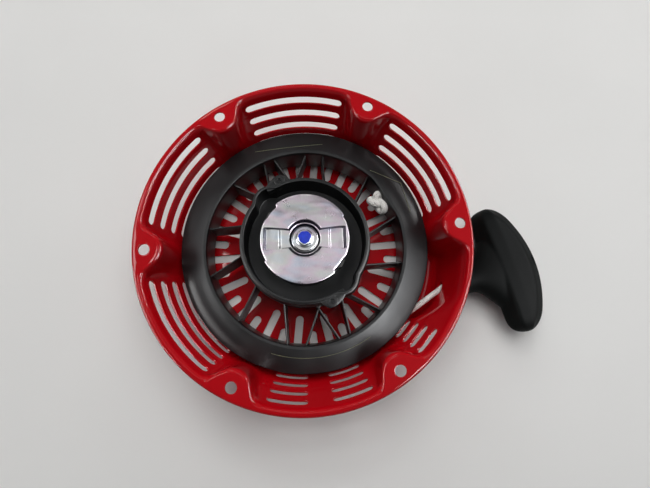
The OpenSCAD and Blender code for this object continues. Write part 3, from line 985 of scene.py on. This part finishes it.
def guide_disc():
    fine = [a for a in np.arange(0, 360, 0.25)
            if 8 < abs((a - RECESS_TURN + 90) % 180 - 90) < 40]
    angles = np.array(sorted(set(fine) | set(np.arange(0, 360, 1.0))))
    edge, recess = guide_edge(angles), bow_tie_radius(angles)

    def floor_depth(r):
        """The arms are deeper beyond a step, and the middle is a deeper round well."""
        along_arm = np.abs(r * cosd(angles - RECESS_TURN))
        arm = 2.2 + 1.2 * smooth_step(along_arm, 16.4, 17.8)
        middle = 1 - smooth_step(r, 9.6, WELL_FLOOR_R)
        return arm + (4.2 - arm) * middle

    rows = []
    for r in (6.0, 7.5, 9.0, 9.6, 9.9, 10.2, 10.5, WELL_FLOOR_R):
        rows.append((r + 0 * edge, floor_depth(r + 0 * edge)))
    inner = np.maximum(recess - 1.4, 11.0)
    for t in np.linspace(0.03, 1, 34):
        r = WELL_FLOOR_R + (inner - WELL_FLOOR_R) * t
        rows.append((r, floor_depth(r)))
    for t in np.linspace(0, 1, 10)[1:]:
        r = inner + RECESS_WALL * t
        rows.append((r, floor_depth(inner) * (1 - smooth_step(t, 0, 1))))
    outer = edge - DISC_EDGE
    wall = inner + RECESS_WALL
    for t in np.linspace(0, 1, 14)[1:]:
        rows.append((wall + (outer - wall) * t, 0 * edge))
    for t in (30, 60, 90):
        rows.append((outer + DISC_EDGE * sind(t), DISC_EDGE * (1 - cosd(t)) + 0 * edge))
    rows.append((edge, 1.9 + 0 * edge))
    r = np.array([row[0] for row in rows])
    z = GUIDE_TOP - np.array([row[1] for row in rows])
    points = np.stack([r * cosd(angles), r * sind(angles), z], axis=-1).reshape(-1, 3)
    faces = loop_faces(len(rows), len(angles), flip=True)
    obj = add_mesh("guide_plate", points, faces, ZINC, "guide", "zinc_plate")
    solid = obj.modifiers.new("sheet", "SOLIDIFY")
    solid.thickness = 1.3 * MM
    solid.offset = -1.0
    bake_modifiers(obj)
    tabs = []
    for half in (0, 180):
        outline = rounded([(-23.5, 16.2), (-9.3, 16.6), (-9.3, 18.3), (-13, 18.8), (-17, 18.75),
                           (-19.2, 18.45), (-23.5, 17.3)], 0.3, 2)
        p, f = prism(outline, -9.6, -6.4, 0.2)
        tabs.append((turned(p, half), f))
    points, faces = join(tabs)
    cams = add_mesh("guide_cams", points, faces, ZINC, "guide", "zinc_plate")
    sharpen(obj, 50)
    sharpen(cams)
    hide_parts("ratchet_guide")


def collar():
    outline = rounded([
        (3.05, -12), (5.95, -12), (5.95, -9.5), (9.5, -9.5),
        (9.5, -8.7), (8.6, -8.3), (8.3, -7.6), (3.05, -7.6)
    ], [0.1, 0.2, 0.1, 0.3, 0.5, 0.3, 0.4, 0.1], 3)
    points, faces = lathe(outline[::-1], even_angles(120))
    obj = add_mesh("collar", points, faces, ZINC, "case", "zinc_plate")
    sharpen(obj)
    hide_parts("guide_collar")


def screw():
    seat = SCREW_SEAT
    shank = rounded([(0.01, -30), (2.95, -30), (2.95, seat), (0.01, seat)], [0, 0.6, 0.1, 0], 3)
    flange = rounded([(0.01, seat), (6.4, seat), (6.4, seat + 0.5), (4.9, seat + 1.3), (0.01, seat + 1.3)],
                     [0, 0.1, 0.25, 0.3, 0], 3)
    hexagon = rounded([polar(5.0 / cosd(30), 60 * k + 15)[:2] for k in range(6)], 0.5, 3)
    head = prism(hexagon, seat + 0.6, HEAD_TOP, 0.45)
    points, faces = join([lathe(shank[::-1], even_angles(48)), lathe(flange[::-1], even_angles(96)), head])
    obj = add_mesh("screw", points, faces, ZINC, "case", "zinc_plate")
    sharpen(obj)
    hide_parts("set_screw")
    angles = even_angles(72)
    wobble = 4.35 + 0.12 * sind(3 * angles) + 0.1 * sind(7 * angles + 40)
    rows = [(0.02, 0.30), (1.5, 0.29), (3.0, 0.24), (0.97 * wobble, 0.14), (wobble, 0.01)]
    paint = []
    for radius, height in rows:
        paint.append(np.column_stack([radius * cosd(angles), radius * sind(angles),
                                      np.full(len(angles), HEAD_TOP + height)]))
    points = np.vstack(paint)
    faces = loop_faces(len(rows), len(angles), flip=True) + [cap(0, len(angles))]
    add_mesh("screw_paint_mark", points, faces, BLUE, "case", "zinc_plate")


# ---- rope

def braid(path, radius=ROPE_R, strands=16, pitch=11.0, sides=6):
    """Braided rope: half of the strands wind one way and half the other, over and under each other."""
    path = np.asarray(path, float)
    _, n1, n2 = frames_along(path)
    length = lengths(path)
    yarn = 0.62 * 2 * math.pi * radius / strands * 2
    parts = []
    for k in range(strands):
        way = 1 if k % 2 == 0 else -1
        first = (k // 2) * 720.0 / strands
        turn = way * 360.0 * length / pitch + first
        lift = 0.17 * way * np.cos(math.pi * strands * length / pitch)
        out = n1 * cosd(turn)[:, None] + n2 * sind(turn)[:, None]
        centre = path + out * (radius - 0.42 + lift)[:, None]
        across = np.cross(out, unit(np.gradient(centre, axis=0)))
        ring = [centre + across * (yarn / 2 * cosd(u)) + out * (0.30 * sind(u)) for u in even_angles(sides)]
        parts.append((np.stack(ring, axis=1).reshape(-1, 3), capped_faces(len(path), sides)))
    return join(parts + [tube(path, radius - 0.55, 10)])


def pull_point(along, across=0.0, up=0.0):
    """A point given along the line of pull from the rope's guide point."""
    c, s = cosd(PULL_ANGLE), sind(PULL_ANGLE)
    return GUIDE + np.array([along * c - across * s, along * s + across * c, up])


def rope_pieces():
    lead = np.array([cosd(LEAD_ANGLE), sind(LEAD_ANGLE), 0.0])
    start = GUIDE - lead * (LEAD_LENGTH - 22)
    route = [start, GUIDE - lead * 20, GUIDE - lead * 5, GUIDE, pull_point(5), pull_point(11)]
    points, faces = braid(smooth_path(route, BRAID_STEP))
    obj = add_mesh("rope_lead_braid", points, faces, ROPE, "case", "rope")
    reach = np.linspace(10.5, 56.0, 240)
    points, faces = tube([pull_point(s) for s in reach], ROPE_R - 0.1, 16)
    run = add_mesh("rope_run", points, faces, ROPE, None, "rope")
    tuple(pull_point(10.6) * MM)
    tuple(pull_point(54.0) * MM)
    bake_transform(run)
    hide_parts("rope_lead")

    turns = [tube([polar(r, a, ROPE_Z) for a in even_angles(180)], ROPE_R - 0.02, 12, True) for r in LAYERS]
    points, faces = join(turns)
    winding = add_mesh("rope_turns", points, faces, ROPE, "reel", "rope")
    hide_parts("rope_winding")


def rope_knot():
    """Overhand knot that stops the rope inside the drum."""
    centre = polar(65.6, KNOT_ANGLE, -35.0)
    t = np.radians(np.linspace(-25, 345, 70))
    knot = np.column_stack([np.sin(t) + 1.55 * np.sin(2 * t), np.cos(t) - 1.55 * np.cos(2 * t),
                            -1.0 * np.sin(3 * t)])
    knot *= (2.0, 3.1, 2.4)
    loops = braid(smooth_path(turned(knot, KNOT_ANGLE) + centre, BRAID_STEP), KNOT_ROPE_R, pitch=13.0)
    route = [centre + turned((2.0, 1.0, -2), KNOT_ANGLE), polar(69.5, KNOT_ANGLE, -39.5),
             polar(74.0, KNOT_ANGLE, ROPE_Z)]
    tail = braid(smooth_path(route, BRAID_STEP), ROPE_R * 0.9)
    obj = add_mesh("rope_knot", *join([loops, tail]), ROPE, "reel", "rope")
    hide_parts("rope_end_knot")


# ---- grip

def bar_section(t):
    """Section of the grip's bar at a distance t from its middle: (along the pull, up)."""
    outer = 72.9 - 0.0062 * t * t
    inner = 35.8 - 1.6 * float(smooth_step(t, 0.0, 16.0))
    ridge = 42.6
    tall = 13.0 - 1.4 * (t / 40.0) ** 2
    outline = np.array(rounded([
        (inner, 0), (ridge, tall * 0.97), (ridge + 9, tall), (outer - 8.5, tall * 0.86), (outer, tall * 0.34),
        (outer, -tall * 0.34), (outer - 8.5, -tall * 0.86), (ridge + 9, -tall), (ridge, -tall * 0.97)
    ], [4.0, 2.2, 9.0, 8.0, 5.0, 5.0, 8.0, 9.0, 2.2], 6))
    end = min(max((abs(t) - 33.0) / 15.4, 0.0), 1.0)
    shrink = (1 - end ** 3.2) ** (1 / 2.2)
    loop = spaced(np.vstack([outline, outline[:1]]), 64, endpoint=False)
    return BAR_AXIS + (loop - BAR_AXIS) * max(shrink, 0.02)


def grip():
    """T-shaped grip: a bar with a soft ridge along each face and a neck that flares into it."""
    stations = BAR_HALF * np.sin(np.radians(np.linspace(-90, 90, 81)))
    rows = [[pull_point(q[0], t, q[1]) for q in bar_section(t)] for t in stations]
    parts = [(np.array(rows).reshape(-1, 3), capped_faces(len(rows), len(rows[0])))]
    rows = []
    for along in np.linspace(NOSE_END + 0.6, 56.0, 60):
        flare = smooth_step(along, 19.0, 43.0)
        wide = 10.0 + 0.03 * (along - 10) + 20.0 * flare ** 1.3
        tall = 9.0 + 0.03 * (along - 10) + 2.2 * flare
        lip = 1 - 0.10 * (1 - smooth_step(along, NOSE_END + 0.4, NOSE_END + 2.0))
        rows.append([pull_point(along, wide * lip * cosd(a), tall * lip * sind(a)) for a in even_angles(48)])
    parts.append((np.array(rows).reshape(-1, 3), capped_faces(len(rows), len(rows[0]), flip=True)))
    points, faces = join(parts)
    obj = add_mesh("grip_moulding", points, faces, RUBBER, "grip", "grip_rubber")
    remesh = obj.modifiers.new("one_skin", "REMESH")
    remesh.mode = "VOXEL"
    remesh.voxel_size = 0.7 * MM
    soft = obj.modifiers.new("soften", "SMOOTH")
    soft.factor = 0.5
    soft.iterations = 10
    bake_modifiers(obj)
    obj.data.shade_smooth()
    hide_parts("grip_body")


# ---- small hidden pieces keep their CAD shape

def dress_cad_nodes():
    looks = {
        "spindle_post": STEEL, "rope_eyelet": STEEL, "recoil_spring": SPRING, "spring_cover": STEEL,
        "ratchet_1": PAWL, "ratchet_2": PAWL, "ratchet_pins": STEEL, "ratchet_springs": SPRING,
        "friction_spring": SPRING, "thrust_washer": STEEL, "grip_cap": RUBBER, "grip_washer": STEEL,
        "rope_grip_knot": ROPE,
    }
    for name, material in looks.items():
        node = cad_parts[name]
        node.data.materials.clear()
        node.data.materials.append(material)


# ---- stage, light and camera

def stage():
    n = Nodes("backdrop")
    n.set(colour=n.ramp(n.noise(6, 2), [(0.3, (0.79, 0.79, 0.78)), (0.7, (0.82, 0.82, 0.81))]))
    n.set(roughness=0.7)
    size = 6.0
    z = CAD_BOX[0][2] - 0.0003
    mesh = bpy.data.meshes.new("floor")
    corners = [(-size, -size, z), (size, -size, z), (size, size, z), (-size, size, z)]
    mesh.from_pydata(corners, [], [(0, 1, 2, 3)])
    mesh.materials.append(n.material)
    floor = bpy.data.objects.new("floor", mesh)
    bpy.context.collection.objects.link(floor)


def sky():
    """Dim overhead and brighter towards the horizon, as in a room with windows."""
    world = bpy.data.worlds.new("world")
    bpy.context.scene.world = world
    world.use_nodes = True
    tree = world.node_tree
    coords = tree.nodes.new("ShaderNodeTexCoord")
    split = tree.nodes.new("ShaderNodeSeparateXYZ")
    ramp = tree.nodes.new("ShaderNodeValToRGB")
    stops = ((0.0, 0.20), (0.55, 0.16), (0.78, 0.05), (0.97, 0.05))
    while len(ramp.color_ramp.elements) < len(stops):
        ramp.color_ramp.elements.new(0.5)
    for element, (at, level) in zip(ramp.color_ramp.elements, stops):
        element.position = at
        element.color = (level * 0.97, level * 0.985, level, 1)
    tree.links.new(coords.outputs["Generated"], split.inputs["Vector"])
    tree.links.new(split.outputs["Z"], ramp.inputs["Fac"])
    tree.links.new(ramp.outputs["Color"], tree.nodes["Background"].inputs["Color"])


LAMP_DISTANCE = 1.4


def lights():
    """Lamps on a ball round the case. Some only light it, and some are only seen mirrored in it."""
    sky()
    aim = Vector((0.0, 0.0, -0.03))
    for name, azimuth, elevation, size, radiance, colour, seen in (
            ("softbox", 76, 70, (1.5, 1.1), 2.85, (1.0, 0.99, 0.98), "diffuse"),
            ("back_window", 88, 30, (1.4, 0.35), 2.4, (1.0, 0.99, 0.98), "diffuse"),
            ("back_strip", 96, 49, (0.7, 0.08), 7.0, (1.0, 0.99, 0.975), "both"),
            ("right_window", -26, 57, (0.7, 0.36), 22.0, (0.96, 0.98, 1.0), "mirrored"),
            ("left_window", 165, 53, (0.8, 0.34), 6.0, (0.97, 0.985, 1.0), "mirrored"),
            ("side_lamp", 153, 70, (0.22, 0.12), 8.0, (1.0, 0.99, 0.97), "mirrored"),
            ("disc_patch", 76, 78, (0.36, 0.24), 1.1, (0.98, 0.97, 1.0), "mirrored"),
            ("right_strip", -2, 28, (1.8, 0.12), 34.0, (1.0, 1.0, 1.0), "mirrored"),
            ("left_strip", 192, 28, (0.9, 0.12), 34.0, (1.0, 1.0, 1.0), "mirrored")):
        data = bpy.data.lights.new(name, "AREA")
        data.shape = "RECTANGLE"
        data.size, data.size_y = size
        data.energy = radiance * math.pi * size[0] * size[1]
        data.color = colour
        lamp = bpy.data.objects.new(name, data)
        bpy.context.collection.objects.link(lamp)
        lamp.location = polar(cosd(elevation), azimuth, sind(elevation)) * LAMP_DISTANCE
        lamp.rotation_euler = (aim - lamp.location).to_track_quat("-Z", "Y").to_euler()
        lamp.visible_glossy = seen != "diffuse"
        lamp.visible_diffuse = seen != "mirrored"
        lamp.visible_camera = False


def camera():
    data = bpy.data.cameras.new("camera")
    data.sensor_width = 36.0
    data.lens = 22.62
    data.clip_start = 0.01
    cam = bpy.data.objects.new("camera", data)
    bpy.context.collection.objects.link(cam)
    cam.location = Vector((1.0, -63.7, 265.4)) * MM
    cam.rotation_euler = [math.radians(a) for a in (12.309, -1.458, -5.288)]
    bpy.context.scene.camera = cam


camera()
stage()
lights()
case_shell()
rope_nose()
reel()
mould_lines()
guide_disc()
collar()
screw()
rope_pieces()
rope_knot()
grip()
dress_cad_nodes()

bpy.context.scene.view_settings.view_transform = "Standard"
